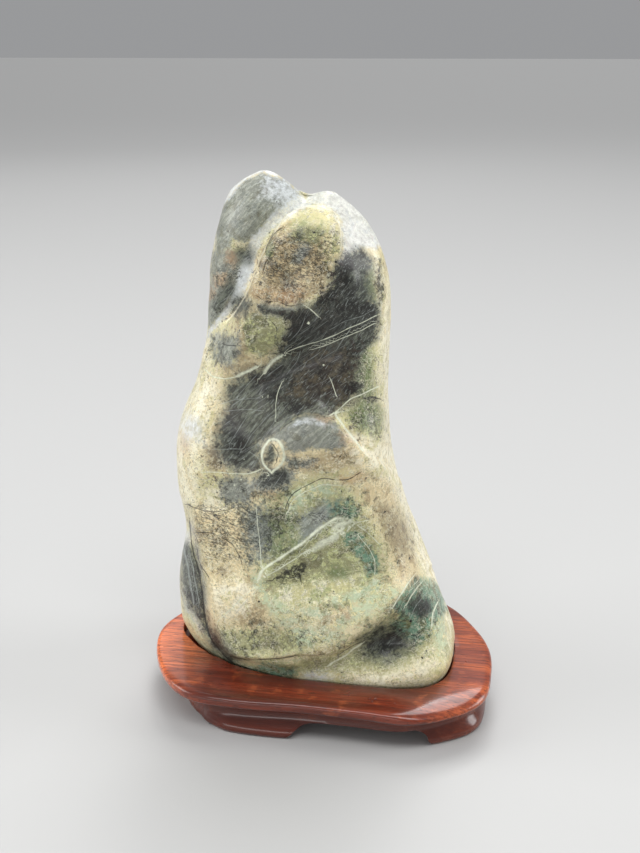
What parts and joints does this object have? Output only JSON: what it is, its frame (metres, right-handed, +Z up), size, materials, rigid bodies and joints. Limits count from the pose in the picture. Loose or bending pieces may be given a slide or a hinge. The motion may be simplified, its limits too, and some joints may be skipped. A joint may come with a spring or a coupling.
{
  "type": "scholar's rock on stand",
  "caption": "Tall polished scholar's rock with two peaks, hollows and ledges, resting in the recess of a low carved hardwood stand on bracket feet.",
  "frame": {"origin": "on the ground, under the middle of the stand", "axes": "+Z up, the stone's longest way; +X the stone's right as its front is looked at; -Y its front"},
  "size_m": [0.1365, 0.0984, 0.2036],
  "materials": {
    "stone": "polished and waxed, mottled cream, olive, teal and charcoal",
    "stand_wood": "red-brown rosewood under gloss lacquer"
  },
  "bodies": {
    "root": {"stone": "stone", "stand": "stand_wood"}
  },
  "joints": []
}
